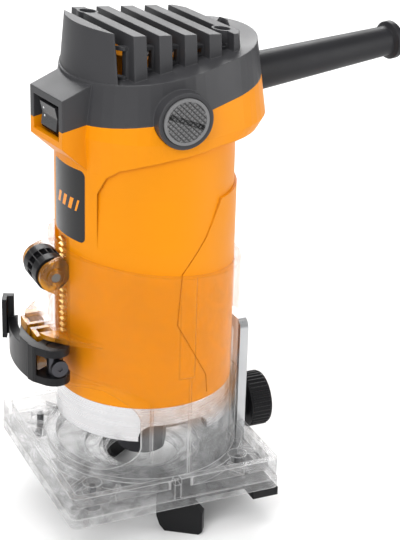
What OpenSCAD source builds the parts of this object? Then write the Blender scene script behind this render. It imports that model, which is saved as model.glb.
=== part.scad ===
// Trim router: motor unit in a clear clamp base, with a vee guide under the base.
// Origin: barrel axis on the underside of the base. -X is the switch side, +X the cord side.

/* [Base] */
// Side of the square base
base_w = 90; // [84:1:108]
// Height of the base rim above the underside
base_h = 13.1; // [12:0.1:16]
// Thickness of the sub-base plate
sub_t = 4; // [3:0.5:5]
// How far the sub-base plate stands out past the base
sub_lip = 0.4; // [0.2:0.1:1]
// Distance from the barrel axis back to the base's centre
base_shift = 2.4; // [0:0.1:4]
// Rim wall of the base tray
rim_wall = 3; // [2:0.5:4]
// Floor thickness of the base tray
floor_t = 3; // [2:0.5:4]
// Radius of the cutter opening in the sub-base plate
opening_r = 15; // [13.5:0.5:17]
// Radius of the opening in the tray floor
floor_hole_r = 24; // [20:0.5:28]
// Distance of the base screws from the base's centre, along X and Y
base_screw_pos = 32; // [31:0.5:35]

/* [Collar] */
// Wall of the clamp collar
collar_wall = 2.6; // [2:0.1:3.5]
// Height of the collar's top edge on the barrel axis
collar_top = 98.4; // [94:0.5:101]
// Slope of the collar's top edge, in degrees
collar_tilt = 8; // [0:1:10]
// Radial clearance between barrel and collar
barrel_clear = 0.3; // [0.2:0.05:0.4]
// Width of the clamping slit
slit_w = 2.6; // [2:0.1:4]
// Height of the top of the chip window
window_top = 50.5; // [46:0.5:52]
// Height of the bottom of the chip window
window_bottom = 13.4; // [12.5:0.1:16]

/* [Barrel] */
// Radius of the motor barrel
barrel_r = 36.1; // [34:0.1:39]
// Wall of the motor housing
house_wall = 2.6; // [2:0.1:3.2]
// Height where the barrel meets the aluminium nose
nose_top = 41.5; // [40:0.5:43]
// Height of the lower edge of the aluminium nose
nose_bottom = 26.5; // [25:0.5:29]
// Height where the barrel starts to flare into the head
flare_z = 138; // [136:0.5:140]
// Height of the flare
flare_h = 14.5; // [12:0.5:16]

/* [Head] */
// Angle of the head about the barrel axis
head_turn = 10; // [0:1:14]
// How far the head's front round stands out past the barrel
head_out = 0.9; // [0.4:0.1:2.5]
// How much smaller the head's rear round is than the front one
tail_less = 2.5; // [1:0.1:4]
// Distance between the centres of the head's two rounds
tail_d = 14.5; // [12:0.5:17]
// Height of the joint between housing and cap above the flare's start, on the barrel axis
split_up = 24.3; // [23:0.1:26]
// Slope of that joint, in degrees
split_tilt = 8; // [4:0.5:9]
// Height of the cap's shoulder above the joint, on the barrel axis
shoulder_h = 15.1; // [14:0.1:17]
// Slope of the shoulder, in degrees
shoulder_tilt = 6.6; // [4:0.1:8]
// Height of the fin tops above the shoulder, on the barrel axis
fin_h = 12.6; // [11:0.2:15]
// Fall of the fin tops towards the cord, in degrees
fin_tilt = 6.6; // [3:0.1:8]
// Number of slots between the fins
slot_n = 6; // [4:1:6]
// Thickness of a fin
fin_t = 5.5; // [4.5:0.1:6.5]
// Distance from fin to fin
fin_pitch = 11.1; // [10:0.1:11.4]
// How far the fin tower's round is set in from the head's front round
tower_in = 3.5; // [2.5:0.1:6]
// Half width of the fin tower
tower_y = 22.8; // [20:0.2:24]
// Wall of the cap
cap_wall = 2.6; // [2:0.1:3.2]
// How far the switch nose's face stands out past the head
snout_out = 7.5; // [6:0.5:10]
// Half width of the switch nose
snout_y = 12.2; // [11.6:0.2:13]

/* [Motor] */
// Space between the housing's inner wall and the stator core
stator_gap = 3; // [2:0.5:5]
// Distance from the stator core's lower face up to the flare's start
stator_drop = 46; // [44:1:50]
// Length of the stator core
stator_h = 40; // [34:1:42]
// Radius of the armature core
armature_r = 18; // [16:0.5:19]
// Radial air gap between armature and stator
air_gap = 0.6; // [0.4:0.1:1]
// Radius of the spindle in its lower bearing
spindle_r = 5; // [4.5:0.1:5.5]
// Radius of the spindle in its upper bearing
tail_shaft_r = 4; // [3.5:0.1:4.5]
// Outer radius of the lower bearing
low_bearing_r = 13; // [12:0.5:14]
// Width of the lower bearing
low_bearing_w = 8; // [7:0.5:9]
// Outer radius of the upper bearing
top_bearing_r = 11; // [10:0.5:12]
// Width of the upper bearing
top_bearing_w = 7; // [6:0.5:8]
// Height of the upper bearing above the joint between housing and cap
top_bearing_up = 9.7; // [9:0.1:11]
// Space between the housing's inner wall and the fan
fan_gap = 4.5; // [3:0.5:7]
// Number of fan blades
fan_blades = 9; // [7:1:12]
// Distance of the brushes below the joint between housing and cap
brush_drop = 0.3; // [0:0.1:2]
// Radius of a brush cap
brush_cap_r = 9.1; // [8.5:0.1:9.5]

/* [Collet] */
// Radius of the collet bore, which takes the cutter's shank
collet_r = 3; // [2.9:0.05:3.2]
// Height of the collet nut's lower face
nut_z = 6; // [5:0.5:8]
// Height of the collet nut
nut_h = 14; // [12:0.5:15]
// Width of the collet nut across its flats
nut_flats = 19; // [18:0.5:21]

/* [Depth roller] */
// Height of the depth roller's axis
roller_z = 93.5; // [92:0.1:94]
// Tooth size of the roller and the rack
tooth_m = 0.8; // [0.8:0.05:0.9]
// Number of teeth on the roller
roller_teeth = 16; // [15:1:17]
// Length of the roller
roller_l = 14.6; // [12:0.2:15]
// Radius of the roller's pin
roller_pin_r = 2; // [1.5:0.1:2.5]
// Thickness of an ear that holds the roller
ear_t = 3; // [2.5:0.1:3.5]
// Radius of an ear's round end
ear_r = 6.4; // [5.5:0.1:7]

/* [Clamp] */
// Height of the clamp bolt
clamp_z = 60; // [58:0.5:61]
// Distance of the clamp bolt in front of the collar
clamp_out = 5.5; // [5:0.5:7]
// Distance of the lever's pivot from the middle plane
pivot_y = 17; // [16:0.5:18]
// Radius of the clamp bolt
clamp_bolt_r = 2; // [1.5:0.1:2.2]
// Height of the lever
lever_h = 15.6; // [14:0.2:17]
// Thickness of the lever's arm
lever_t = 3.6; // [3:0.1:4.5]
// Radius of the lever's pivot pin
pivot_r = 3.2; // [3:0.1:3.4]

/* [Guide] */
// Thickness of the guide bracket
bracket_t = 3.8; // [2.5:0.1:4.5]
// Width of the guide bracket
bracket_w = 18.6; // [17:0.2:20]
// Height of the guide bracket's top edge
bracket_top = 60; // [54:0.5:64]
// Height of the guide knob's axis
knob_z = 17; // [16.5:0.5:19]
// Radius of the guide knob
knob_r = 11.8; // [10:0.1:12.5]
// Thickness of the guide knob
knob_t = 9.3; // [8:0.1:11]
// Radius of the knob's stud
stud_r = 2.5; // [2:0.1:3]
// Thickness of the fence's web
web_t = 3.5; // [3:0.1:4]
// Depth of the fence's shoes below the underside of the base
shoe_depth = 18; // [14:0.5:20]

/* [Cord guard] */
// Radius of the guard where it leaves the head
guard_r = 8; // [7:0.1:9]
// Radius of the guard before its end ring
guard_tip_r = 6.1; // [5.5:0.1:7]
// Length of the cord guard outside the head
guard_l = 74; // [60:1:90]
// Radius of the guard's bore, which takes the cord
cord_r = 3.6; // [3:0.1:4]
// Upward slope of the guard, in degrees
guard_tilt = 2.5; // [0:0.5:4]

/* [Hidden] */
$fn = 96;
eps = 0.01;
far = 200;

// Shared clearances
fit = 0.02;
gap = 0.3;
run = 0.05;

// Base
floor_z = sub_t + floor_t;
collar_in = barrel_r + barrel_clear;
collar_out = collar_in + collar_wall;
foot_r = collar_out + 3.2;
foot_h = 4;
boss_r = 4;
screw_r = 1.6;

// Guide
pad_x = collar_out + 0.4;
bracket_x = pad_x + gap;
bracket_out = bracket_x + bracket_t;
notch_y = bracket_w / 2 + gap;
base_back = base_w / 2 - base_shift;
bar_x = bracket_x - 7.9;
web_top = -1;
web_low = web_top - web_t;
leg_top = web_low - 0.2;
leg_low = leg_top - bracket_t;
slot_r = stud_r + 0.3;
insert_r = stud_r + 1.9;
slot_top = bracket_top - 8;
fence_screw_x = bar_x + 3.6;
fence_screw_y = 5;

// Depth roller: it meshes with a rack whose tooth tips lie on the barrel's surface
tooth_p = PI * tooth_m;
roller_pitch_r = tooth_m * roller_teeth / 2;
roller_r = roller_pitch_r + tooth_m;
rack_tip_x = barrel_r - 0.1;
rack_pitch_x = rack_tip_x - tooth_m;
rack_root_x = rack_pitch_x - 1.25 * tooth_m;
roller_x = rack_pitch_x + roller_pitch_r;
rack_back_x = rack_root_x - 1.2;
rack_w = 4;
rack_low = roller_z - 31.5;
rack_high = roller_z + 14.5;
channel_w = roller_l + 1.6;
channel_x = roller_x - roller_r - 0.4;
ear_y = roller_l / 2 + gap;

// Clamp
clamp_x = collar_out + clamp_out;
lug_y = pivot_y - 6.9;
lug_x = clamp_x + 5;
fork_gap = 9;
arm_r = norm([lug_x, lug_y]) + 0.9;

// Head
house_in = barrel_r - house_wall;
head_r = barrel_r + head_out;
tail_r = head_r - tail_less;
tower_r = head_r - tower_in;
snout_x = head_r + snout_out;
flare_top = flare_z + flare_h;
split_z = flare_z + split_up;
shoulder_z = split_z + shoulder_h;
fin_top = shoulder_z + fin_h;
brush_z = split_z - brush_drop;
snout_top = split_z + 6;
snout_chin = flare_z + 11.3;
snout_back = head_r - 7;
recess_z = [split_z - 10.5, split_z + 3.3];
recess_y = 9.6;
recess_d = 4;
rocker_w = 13.4;
rocker_h = 11.6;
rocker_z = split_z - 3.3;
boss_y = head_r + 1.8;
brush_boss_r = brush_cap_r + 1.9;
inner_y = tower_y - 3.8;
inner_wall = 2.4;
inner_r = tower_r - 3.3;
fin_first = -17.6;
cap_boss = [[-17, 16.2], [24.6, -14.4]];
guard_z = split_z - 1;
guard_x = tail_d + tail_r - 9;
guard_hole_r = guard_r + gap;
guard_flange_r = guard_r + 2;
guard_flange_w = 3;
label_z = flare_z - 14.4;

// Motor
stator_r = house_in - stator_gap;
stator_z = flare_z - stator_drop;
fan_r = house_in - fan_gap;
fan_z = nose_top + 8.5;
pole_x = (armature_r + stator_r) / 2 - 6.2;
pole_y = 15;
top_bearing_z = split_z + top_bearing_up;
low_bearing_z = nose_top - 5.5;
spigot_r = house_in - fit;
spigot_h = 5;
nut_r = nut_flats / sqrt(3);
nose_in = barrel_r - 5.2;
thread_r = 7.9;

// Two rounds of different radius joined by their outer tangents
module egg(r1, r2, d) {
    s = (r1 - r2) / d;
    c = sqrt(1 - s * s);
    circle(r = r1);
    translate([d, 0]) circle(r = r2);
    polygon([[r1 * s, r1 * c], [d + r2 * s, r2 * c], [d + r2 * s, -r2 * c], [r1 * s, -r1 * c]]);
}

module ring(r_out, r_in, h) {
    difference() {
        cylinder(r = r_out, h = h);
        translate([0, 0, -1]) cylinder(r = r_in, h = h + 2);
    }
}

module round_rect(x, y, r) {
    union() {
        square([x - 2 * r, y], center = true);
        square([x, y - 2 * r], center = true);
        for (i = [-1, 1], j = [-1, 1])
            translate([i * (x / 2 - r), j * (y / 2 - r)]) circle(r = r);
    }
}

// Everything below a plane that crosses the barrel axis at z and rises by a towards +X
module below(z, a) {
    translate([0, 0, z]) rotate([0, -a, 0]) translate([-far, -far, -2 * far])
        cube([2 * far, 2 * far, 2 * far]);
}

module above(z, a) {
    translate([0, 0, z]) rotate([0, -a, 0]) translate([-far, -far, 0])
        cube([2 * far, 2 * far, 2 * far]);
}

// Turns a solid from the head's frame into the base's frame
module head() {
    rotate([0, 0, head_turn]) children();
}

// A bar along Y, drawn from its outline in the XZ plane
module along_y(y0, y1) {
    translate([0, y1, 0]) rotate([90, 0, 0]) linear_extrude(height = y1 - y0) children();
}

// A bar along X, drawn from its outline in the YZ plane
module along_x(x0, x1) {
    translate([x0, 0, 0]) rotate([90, 0, 90]) linear_extrude(height = x1 - x0) children();
}

module y_rod(r, y0, y1) {
    translate([0, y0, 0]) rotate([-90, 0, 0]) cylinder(r = r, h = y1 - y0);
}

module x_rod(r, x0, x1) {
    translate([x0, 0, 0]) rotate([0, 90, 0]) cylinder(r = r, h = x1 - x0);
}

// ---------------------------------------------------------------- base

module base_corners() {
    for (i = [-1, 1], j = [-1, 1])
        translate([i * base_screw_pos - base_shift, j * base_screw_pos, 0]) children();
}

module chip_window(grow) {
    h = window_top - window_bottom + 2 * grow;
    translate([0, (window_top + window_bottom) / 2])
        round_rect(2 * (collar_out - 2.2) + 2 * grow, h, 13);
}

module bracket_notch(z0, z1) {
    translate([bracket_x - gap, -notch_y, z0]) cube([far, 2 * notch_y, z1 - z0]);
}

module tray() {
    difference() {
        translate([-base_shift, 0, sub_t]) linear_extrude(height = base_h - sub_t)
            round_rect(base_w, base_w, 3);
        translate([-base_shift, 0, floor_z]) linear_extrude(height = base_h)
            round_rect(base_w - 2 * rim_wall, base_w - 2 * rim_wall, 1.5);
    }
    translate([0, 0, floor_z - 1]) cylinder(r = foot_r, h = foot_h + 1);
    translate([0, 0, floor_z - 1]) base_corners() cylinder(r = boss_r, h = base_h - floor_z - 0.5);
    intersection() {
        translate([-base_shift, 0, floor_z - 1]) linear_extrude(height = foot_h - 0.4)
            square(base_w - 2, center = true);
        for (a = [35, 55, 125, 145, 215, 235, 305, 325])
            rotate([0, 0, a]) translate([foot_r - 2, -0.9, 0]) cube([40, 1.8, 30]);
    }
    translate([-base_shift - base_w / 2 + 1, -9, floor_z - 1]) cube([6.5, 18, foot_h + 1.5]);
}

module ears() {
    for (s = [-1, 1]) {
        y0 = s > 0 ? ear_y : -ear_y - ear_t;
        translate([0, y0, 0]) along_y(0, ear_t) union() {
            translate([-roller_x, roller_z]) circle(r = ear_r);
            polygon([[-roller_x - 2.4, roller_z + 5.93], [-roller_x + 10, roller_z + 11],
                [-roller_x + 10, roller_z - 14], [-roller_x - 2.4, roller_z - 5.93]]);
        }
        translate([-roller_x, 0, roller_z])
            y_rod(3.6, s > 0 ? ear_y + ear_t - 1 : -ear_y - ear_t - 0.8,
                s > 0 ? ear_y + ear_t + 0.8 : -ear_y - ear_t + 1);
    }
}

module lugs() {
    x = clamp_x + 3.5;
    translate([-lug_x, -lug_y, clamp_z - 9]) cube([lug_x - 30, 2 * lug_y, 18]);
    for (s = [-1, 1], z = [clamp_z - lever_h / 2 - 2.3, clamp_z + lever_h / 2 + 0.3])
        translate([0, 0, z]) linear_extrude(height = 2) polygon([[-x, s * (lug_y - 1)],
            [-x + 1.4, s * (lug_y + 2.6)], [-x + 9, s * (lug_y + 11)], [-x + 19, s * (lug_y + 18)],
            [-x + 21, s * (lug_y + 15)], [-x + 16, s * (lug_y - 1)]]);
}

module lug_pockets() {
    for (s = [-1, 1])
        translate([-lug_x + 2, s * (slit_w / 2 + 4.6) - 2.4, clamp_z + 3.6])
            cube([5.6, 4.8, 20]);
}

module base_housing() {
    color("lightcyan") difference() {
        union() {
            tray();
            translate([0, 0, floor_z - 1]) cylinder(r = collar_out, h = 110);
            intersection() {
                cylinder(r = collar_out + 1.1, h = far);
                along_x(-far, -11) chip_window(2.2);
            }
            ears();
            lugs();
            translate([pad_x - 12, -bracket_w / 2, floor_z - 1])
                cube([12, bracket_w, knob_z + 22 - floor_z + 1]);
            rotate([0, 0, 274]) translate([collar_out - 1, -3.4, 55])
                cube([1.7, 6.8, 60]);
            rotate([0, 0, 276.5]) translate([collar_out - 1, -0.5, floor_z])
                cube([1.6, 1, 50]);
        }
        above(collar_top, -collar_tilt);
        translate([0, 0, floor_z + eps]) cylinder(r = collar_in, h = 120);
        cylinder(r = floor_hole_r, h = 20);
        along_x(-far, -11) chip_window(0);
        translate([-far, -slit_w / 2, window_top - 2]) cube([far - 20, slit_w, 80]);
        translate([-roller_x - roller_r - 6, -channel_w / 2, roller_z - roller_r - 1.4])
            cube([roller_r + 16, channel_w, 2 * roller_r + 2.8]);
        translate([-roller_x, 0, roller_z]) y_rod(roller_pin_r + fit, -20, 20);
        translate([-clamp_x, 0, clamp_z]) y_rod(clamp_bolt_r + 0.2, -30, 30);
        translate([-clamp_x, 0, clamp_z]) along_y_hex(3.9, lug_y - 3.2, lug_y + 5);
        lug_pockets();
        bracket_notch(-1, 20);
        translate([0, 0, knob_z]) x_rod(knob_r + gap, bracket_out + 0.6, far);
        translate([0, 0, knob_z]) x_rod(insert_r, pad_x - 12, pad_x + 1);
        translate([0, 0, -1]) base_corners() cylinder(r = screw_r - 0.1, h = base_h - 2);
        translate([-base_shift - 1.3, -base_w / 2 - 1, sub_t - 1]) cube([2.6, 1.7, 20]);
        translate([-base_shift - 1.3, -base_w / 2 - 1, base_h - 3]) cube([2.6, rim_wall + 2, 20]);
    }
}

module along_y_hex(r, y0, y1) {
    translate([0, y0, 0]) rotate([-90, 30, 0]) cylinder(r = r, h = y1 - y0, $fn = 6);
}

module sub_base_plate() {
    side = base_w + 2 * sub_lip;
    color("gainsboro") difference() {
        translate([-base_shift, 0, 0]) linear_extrude(height = sub_t) round_rect(side, side, 3.2);
        translate([0, 0, -1]) cylinder(r = opening_r, h = sub_t + 2);
        translate([0, 0, sub_t - 1.2]) cylinder(r = opening_r + 3, h = 3);
        base_corners() {
            translate([0, 0, -1]) cylinder(r = screw_r + 0.2, h = sub_t + 2);
            translate([0, 0, -eps]) cylinder(r1 = screw_r + 2, r2 = screw_r + 0.2, h = 1.8);
        }
        bracket_notch(-1, sub_t + 1);
    }
}

module sub_base_screws() {
    color("dimgray") base_corners() difference() {
        union() {
            translate([0, 0, 0.1]) cylinder(r1 = screw_r + 1.7, r2 = screw_r - 0.15, h = 1.8);
            translate([0, 0, 1]) cylinder(r = screw_r - 0.15, h = base_h - 4);
        }
        for (a = [0, 90])
            rotate([0, 0, a]) translate([-1.6, -0.3, 0]) cube([3.2, 0.6, 0.9]);
    }
}

// ---------------------------------------------------------------- clamp

module clamp_bolt() {
    color("silver") translate([-clamp_x, 0, clamp_z]) difference() {
        union() {
            y_rod(clamp_bolt_r, -pivot_y - 5.2, lug_y - 0.6);
            y_rod(3.4, -pivot_y - 6.4, -pivot_y - 4.4);
        }
        y_rod(1, -pivot_y - 7, -pivot_y - 5.9);
    }
}

module clamp_nut() {
    color("silver") translate([-clamp_x, 0, clamp_z]) difference() {
        along_y_hex(3.8, lug_y - 3.2, lug_y - 0.2);
        y_rod(clamp_bolt_r + fit, lug_y - 4, lug_y + 1);
    }
}

module lever_pivot_pin() {
    color("silver") translate([-clamp_x, -pivot_y, clamp_z]) difference() {
        translate([0, 0, -lever_h / 2 + 0.4]) cylinder(r = pivot_r, h = lever_h - 0.8);
        y_rod(clamp_bolt_r + fit, -6, 6);
    }
}

module arm_outline(a0, a1, r_in, r_out) {
    n = 24;
    polygon(concat(
        [for (i = [0:n]) let (a = a0 + (a1 - a0) * i / n) [r_out * cos(a), r_out * sin(a)]],
        [for (i = [0:n]) let (a = a1 + (a0 - a1) * i / n) [r_in * cos(a), r_in * sin(a)]]));
}

module lever_slab() {
    translate([0, 0, clamp_z - lever_h / 2]) linear_extrude(height = lever_h) children();
}

module clamp_lever() {
    tab_h = lever_h / 2 + 9.2;
    color("dimgray") union() {
        difference() {
            union() {
                lever_slab() arm_outline(157, 197, arm_r, arm_r + lever_t);
                lever_slab() translate([-clamp_x, -pivot_y + 0.5]) circle(r = 6.1);
                lever_slab() polygon([[-arm_r + 1.4, -12.6], [-clamp_x, -pivot_y + 6.5],
                    [-clamp_x, -pivot_y - 5.5], [-clamp_x - 4.7, -20.6],
                    [-arm_r - 1.7, -15.2], [-arm_r - 2.8, -12]]);
            }
            translate([-clamp_x, -pivot_y, clamp_z - lever_h])
                cylinder(r = pivot_r + run, h = 2 * lever_h);
            translate([-clamp_x, -pivot_y, clamp_z - fork_gap / 2])
                cylinder(r = 7.6, h = fork_gap);
            translate([0, 0, clamp_z + lever_h / 2]) rotate([0, 0, 157])
                translate([arm_r - 3, -12, -2.4]) rotate([0, 14, 0]) cube([14, 40, 10]);
        }
        rotate([0, 0, 157]) translate([arm_r + 1.6, -1.8, clamp_z - 3.6])
            cube([4.4, 2.6, tab_h]);
        rotate([0, 0, 157]) translate([arm_r + 4.2, -1.8, clamp_z - 3.6])
            cube([1.9, 6.6, tab_h]);
    }
}

// ---------------------------------------------------------------- depth roller and rack

// Straight-sided spur gear outline with a tooth pointing along +X
module gear_outline(n, m, thin) {
    rp = n * m / 2;
    half = 90 / n - thin / rp * 180 / PI;
    lean = tan(20) * 180 / PI;
    tip = half - lean * m / rp;
    root = half + lean * 1.0 * m / rp;
    polygon([for (i = [0:n - 1]) each
        [for (p = [[rp - 1.25 * m, -root], [rp + m, -tip], [rp + m, tip], [rp - 1.25 * m, root]])
            [p[0] * cos(360 * i / n + p[1]), p[0] * sin(360 * i / n + p[1])]]]);
}

module depth_roller() {
    drum = (roller_l - rack_w - 1) / 2;
    color("dimgray") translate([-roller_x, 0, roller_z]) difference() {
        union() {
            along_y(-roller_l / 2, roller_l / 2) gear_outline(roller_teeth, tooth_m, 0.2);
            for (s = [-1, 1])
                y_rod(roller_r - 0.06, s > 0 ? roller_l / 2 - drum : -roller_l / 2,
                    s > 0 ? roller_l / 2 : -roller_l / 2 + drum);
        }
        y_rod(roller_pin_r + run, -roller_l, roller_l);
    }
}

module roller_pin() {
    color("silver") translate([-roller_x, 0, roller_z])
        y_rod(roller_pin_r, -ear_y - ear_t - 0.4, ear_y + ear_t + 0.4);
}

module rack_channel() {
    translate([-far, -channel_w / 2, rack_low])
        cube([far - channel_x, channel_w, rack_high - rack_low]);
    translate([-far, -rack_w / 2 - fit, rack_low])
        cube([far - rack_back_x, rack_w + 2 * fit, rack_high - rack_low]);
}

module depth_rack() {
    first = ceil((rack_low + 2 - roller_z) / tooth_p - 0.5);
    last = floor((rack_high - 2 - roller_z) / tooth_p - 0.5);
    half = tooth_p / 4 - 0.2;
    lean = tan(20) * tooth_m;
    color("goldenrod") along_y(-rack_w / 2, rack_w / 2) polygon(concat(
        [[-rack_back_x, rack_high - fit], [-rack_back_x, rack_low + fit],
            [-rack_root_x, rack_low + fit]],
        [for (i = [first:last]) let (z = roller_z + (i + 0.5) * tooth_p) each
            [[-rack_root_x, z - half - 1.25 * lean], [-rack_tip_x, z - half + lean],
                [-rack_tip_x, z + half - lean], [-rack_root_x, z + half + 1.25 * lean]]],
        [[-rack_root_x, rack_high - fit]]));
}

// ---------------------------------------------------------------- guide

module guide_insert() {
    color("goldenrod") translate([0, 0, knob_z]) difference() {
        x_rod(insert_r - fit, collar_in + 0.1, pad_x);
        x_rod(stud_r + run, collar_in - 4, pad_x + 1);
    }
}

module guide_bracket() {
    color("silver") difference() {
        union() {
            along_x(bracket_x, bracket_out) union() {
                translate([0, (bracket_top + leg_low) / 2])
                    round_rect(bracket_w, bracket_top - leg_low, 4);
                translate([-bracket_w / 2, leg_low]) square([bracket_w, 12]);
            }
            translate([bar_x - 6, -bracket_w / 2, leg_low])
                cube([bracket_out - bar_x + 6, bracket_w, bracket_t]);
        }
        along_x(bracket_x - 5, bracket_out + 5) union() {
            translate([0, knob_z]) circle(r = slot_r);
            translate([0, slot_top]) circle(r = slot_r);
            translate([-slot_r, knob_z]) square([2 * slot_r, slot_top - knob_z]);
        }
        for (s = [-1, 1])
            translate([fence_screw_x, s * fence_screw_y, leg_low - 1]) cylinder(r = 1.7, h = 10);
    }
}

module shoe() {
    l = 19.4;
    d = -shoe_depth;
    translate([-6, -31, 0]) rotate([0, 0, -34.5]) along_y(0, 4) polygon([[0, web_top],
        [l - 6.4, web_top], [l, -7.6], [l, d + 1.5], [l - 1.5, d], [3.6, d],
        [1.4, d + 2.6], [0, d + 7]]);
}

module guide_fence() {
    bar_back = base_back + sub_lip;
    color("dimgray") difference() {
        union() {
            translate([bar_x, -44, web_low]) cube([bar_back - bar_x, 88, web_t]);
            for (s = [-1, 1]) scale([1, s, 1]) {
                translate([-2, -35, web_low]) cube([bar_x + 4, 11, web_t]);
                shoe();
            }
        }
        bracket_notch(-far, 1);
        for (s = [-1, 1])
            translate([fence_screw_x, s * fence_screw_y, web_low - 1]) cylinder(r = 1.4, h = web_t);
    }
}

module fence_screws() {
    color("dimgray") for (s = [-1, 1]) translate([fence_screw_x, s * fence_screw_y, 0]) {
        translate([0, 0, leg_low - 1.6]) cylinder(r = 2.8, h = 1.6);
        translate([0, 0, leg_low - 0.4]) cylinder(r = 1.35, h = bracket_t + 2.6);
    }
}

module guide_knob() {
    n = 36;
    r0 = knob_r - 0.55;
    face = bracket_out + 2.6;
    color("dimgray") translate([0, 0, knob_z]) difference() {
        union() {
            x_rod(r0, face, face + knob_t);
            for (i = [0:n - 1])
                rotate([360 * i / n, 0, 0]) translate([0, 0, r0])
                    x_rod(0.55, face + 0.8, face + knob_t - 0.8);
            x_rod(7, bracket_out + 1.15, face + 1);
        }
        x_rod(stud_r + fit, 0, face + knob_t - 2);
        x_rod(6.5, face + knob_t - 0.8, face + knob_t + 1);
    }
}

module knob_stud() {
    color("silver") translate([0, 0, knob_z])
        x_rod(stud_r, collar_in + 0.2, bracket_out + 2.6 + knob_t - 2.1);
}

module knob_washer() {
    color("silver") translate([0, 0, knob_z]) difference() {
        x_rod(6.4, bracket_out + 0.05, bracket_out + 1.1);
        x_rod(stud_r + 0.1, 0, far);
    }
}

// ---------------------------------------------------------------- motor housing and cap

// The head above the barrel, shrunk by its wall for the inside
module head_body(w) {
    hull() {
        translate([0, 0, flare_z - 0.7]) cylinder(r = barrel_r - w - 0.06, h = 0.1, $fn = 48);
        translate([0, 0, flare_top]) linear_extrude(height = eps)
            egg(head_r - w, tail_r - w, tail_d, $fn = 48);
    }
    hull() {
        translate([0, 0, flare_top]) linear_extrude(height = eps)
            egg(head_r - w, tail_r - w, tail_d, $fn = 48);
        translate([0, 0, fin_top]) linear_extrude(height = eps)
            egg(head_r - 5.2 - w, tail_r - 5.2 - w, tail_d, $fn = 48);
    }
}

// The switch nose, drawn from its side outline
module snout(w) {
    head() along_y(-snout_y + w, snout_y - w) polygon([[-snout_x + w, snout_chin + w / 2],
        [-snout_x + w, snout_top - w], [-snout_back, snout_top + 5.1 - w],
        [-snout_back + 8, snout_top + 5.1 - w], [-snout_back + 8, flare_z + 1.6 + w],
        [-barrel_r + 1.9, flare_z + 1.6 + w]]);
}

module switch_recess() {
    head() translate([-snout_x - 1, -recess_y, recess_z[0]])
        cube([recess_d + 1, 2 * recess_y, recess_z[1] - recess_z[0]]);
    head() translate([-snout_x + 1, -7.2, rocker_z - 6.45]) cube([16, 14.4, 12.9]);
}

// Side outline of the grip recess; its upper edge is raised by w for the wall behind it
module grip_outline(w) {
    b = barrel_r - 36;
    translate([0, flare_z]) polygon([[-28.5 - b - w, -46], [-28.5 - b - w, -7],
        [-26 - b - w, w], [-22 - b - w / 2, 3.6 + w], [-15, 6 + w], [-4, 8.4 + w],
        [16, 10.4 + w], [far, 12 + w], [far, -12], [19, -12], [11.4, -26], [3, -37], [1, -46]]);
}

module seam_line(p, q) {
    d = [q[0] - p[0], q[1] - p[1]];
    len = norm(d);
    translate([p[0], 0, p[1]]) rotate([0, -atan2(d[1], d[0]), 0])
        translate([-0.2, -far, -0.2]) cube([len + 0.4, 2 * far, 0.4]);
}

module seams() {
    pts = [[19, flare_z - 12], [11.4, flare_z - 26], [1, flare_z - 39.3],
        [-0.6, flare_z - 60.8], [13.3, nose_top + 10.3], [14, nose_top + 2.5]];
    difference() {
        for (i = [0:len(pts) - 2]) seam_line(pts[i], pts[i + 1]);
        cylinder(r = barrel_r - 0.5, h = far);
        head() translate([-far - 20, -far, 0]) cube([far, 2 * far, far]);
    }
}

module grip_cut() {
    difference() {
        along_y(-far, far) grip_outline(0);
        cylinder(r = barrel_r - 1.1, h = far);
        translate([0, 0, flare_z - 50]) cylinder(r1 = barrel_r + 1, r2 = barrel_r - 1.2, h = 44);
    }
}

module brush_boss(r, y0, y1) {
    for (s = [-1, 1])
        translate([0, 0, brush_z]) y_rod(r, s > 0 ? y0 : -y1, s > 0 ? y1 : -y0);
}

module guard_axis() {
    head() translate([guard_x, 0, guard_z]) rotate([0, -guard_tilt, 0]) children();
}

module label_outline() {
    head() along_x(-far, -20) translate([0, label_z]) round_rect(22.4, 29.6, 2.4);
}

// The upper bearing's seat, on four pillars that stand on a pierced bulkhead
module bearing_tower() {
    difference() {
        translate([0, 0, flare_z + 8.5]) ring(barrel_r - 1.3, 16, 3.5);
        for (a = [0:90:359])
            rotate([0, 0, a]) translate([barrel_r - 10.6, 0, flare_z]) cylinder(r = 5.5, h = 20);
    }
    for (a = [45:90:359])
        rotate([0, 0, a]) translate([13, -2.5, flare_z + 8.5])
            cube([5.5, 5, top_bearing_z + top_bearing_w - flare_z - 8.8]);
    translate([0, 0, top_bearing_z - 1.5])
        ring(top_bearing_r + 4, top_bearing_r - 1, top_bearing_w + 1.7);
}

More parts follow.
